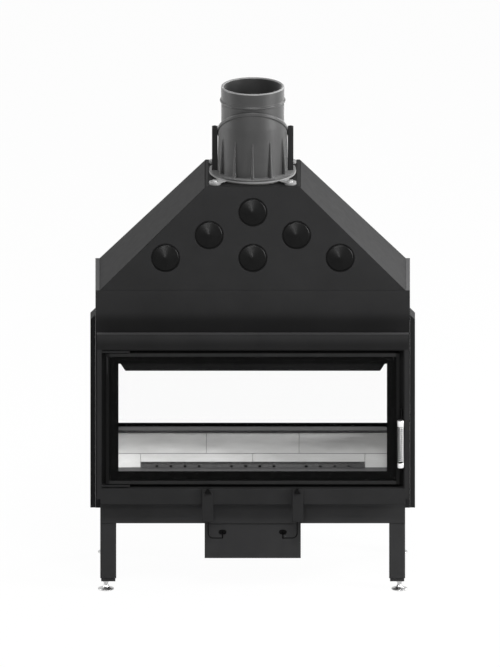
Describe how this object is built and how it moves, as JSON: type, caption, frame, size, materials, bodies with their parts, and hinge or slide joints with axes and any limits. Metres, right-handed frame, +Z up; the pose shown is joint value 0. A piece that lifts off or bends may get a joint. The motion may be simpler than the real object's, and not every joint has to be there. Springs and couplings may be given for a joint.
{
  "type": "see-through fireplace insert",
  "caption": "Free-standing black steel fireplace insert with a hinged glass door on both faces, a sloping hood with capped round outlets, a cast flue collar and levelling feet.",
  "frame": {"origin": "on the floor, under the middle of the body", "axes": "+X right, +Y away from the viewer of the front face, +Z up"},
  "size_m": [1.216, 0.7596, 1.892],
  "materials": {
    "black_paint": "heat-proof matt black paint on steel",
    "dark_steel": "dark unlit steel, heat-proof paint",
    "cast_grey": "grey cast iron, lightly polished",
    "zinc": "bright zinc plate",
    "polished": "polished, bright",
    "bare_steel": "dull bare steel",
    "sill_steel": "dark sheet steel",
    "fireclay": "light grey pressed fireclay, matt",
    "rope": "dark woven sealing cord",
    "enamel": "black border behind the glass",
    "glass": "clear ceramic glass"
  },
  "bodies": {
    "fireplace_body": {"casing_front": "black_paint", "casing_rear": "black_paint", "casing_sides": "black_paint", "casing_floor": "black_paint", "hood_front": "black_paint", "hood_rear": "black_paint", "hood_slopes": "black_paint", "hood_top": "black_paint", "outlet_caps_front": "black_paint", "outlet_caps_rear": "black_paint", "side_duct_left": "black_paint", "side_duct_right": "black_paint", "flue_riser": "dark_steel", "collar_gasket": "rope", "collar_dome": "cast_grey", "flue_spigot": "cast_grey", "tie_bars": "black_paint", "collar_bolts": "zinc", "facade_front": "black_paint", "facade_rear": "black_paint", "door_surround_front": "black_paint", "door_surround_rear": "black_paint", "firebox_shell": "dark_steel", "door_seats": "dark_steel", "side_linings": "fireclay", "floor_slabs_front": "fireclay", "floor_slabs_rear": "fireclay", "sills": "sill_steel", "log_retainer": "bare_steel", "smoke_baffle": "fireclay", "air_wash_rails": "dark_steel", "base_front": "black_paint", "base_rear": "black_paint", "base_sides": "black_paint", "legs": "black_paint", "leg_inserts": "black_paint", "air_box": "black_paint", "air_inlet": "black_paint", "guides": "black_paint"},
    "door_front": {"door_frame_front": "black_paint", "door_glass_front": "glass", "glass_retainer_front": "enamel", "door_seal_front": "rope"},
    "latch_front": {"latch_lever_front": "dark_steel", "grip_core_front": "polished", "grip_coil_front": "polished"},
    "door_rear": {"door_frame_rear": "black_paint", "door_glass_rear": "glass", "glass_retainer_rear": "enamel", "door_seal_rear": "rope"},
    "latch_rear": {"latch_lever_rear": "dark_steel", "grip_core_rear": "polished", "grip_coil_rear": "polished"},
    "air_control_left": {"air_pull_left": "dark_steel"},
    "air_control_right": {"air_pull_right": "dark_steel"},
    "levelling_foot_front_left": {"foot_front_left": "zinc"},
    "levelling_foot_front_right": {"foot_front_right": "zinc"},
    "levelling_foot_rear_left": {"foot_rear_left": "zinc"},
    "levelling_foot_rear_right": {"foot_rear_right": "zinc"}
  },
  "joints": [
    {"name": "door_front_hinge", "type": "hinge", "parent": "fireplace_body", "child": "door_front", "pos_m": [-0.54375, -0.315, 0.688], "axis": [0, 0, -1], "range_deg": [0, 105]},
    {"name": "latch_front_pivot", "type": "hinge", "parent": "door_front", "child": "latch_front", "pos_m": [0.557, -0.318, 0.602], "axis": [0, 0, -1], "range_deg": [0, 20]},
    {"name": "door_rear_hinge", "type": "hinge", "parent": "fireplace_body", "child": "door_rear", "pos_m": [0.54375, 0.315, 0.688], "axis": [0, 0, -1], "range_deg": [0, 105]},
    {"name": "latch_rear_pivot", "type": "hinge", "parent": "door_rear", "child": "latch_rear", "pos_m": [-0.557, 0.318, 0.602], "axis": [0, 0, -1], "range_deg": [0, 20]},
    {"name": "air_left_slide", "type": "slide", "parent": "fireplace_body", "child": "air_control_left", "axis": [0, 0, 1], "range_m": [0, 0.008]},
    {"name": "air_right_slide", "type": "slide", "parent": "fireplace_body", "child": "air_control_right", "axis": [0, 0, 1], "range_m": [0, 0.008]},
    {"name": "foot_front_left_height", "type": "slide", "parent": "fireplace_body", "child": "levelling_foot_front_left", "axis": [0, 0, -1], "range_m": [0, 0.03]},
    {"name": "foot_front_right_height", "type": "slide", "parent": "fireplace_body", "child": "levelling_foot_front_right", "axis": [0, 0, -1], "range_m": [0, 0.03]},
    {"name": "foot_rear_left_height", "type": "slide", "parent": "fireplace_body", "child": "levelling_foot_rear_left", "axis": [0, 0, -1], "range_m": [0, 0.03]},
    {"name": "foot_rear_right_height", "type": "slide", "parent": "fireplace_body", "child": "levelling_foot_rear_right", "axis": [0, 0, -1], "range_m": [0, 0.03]}
  ]
}
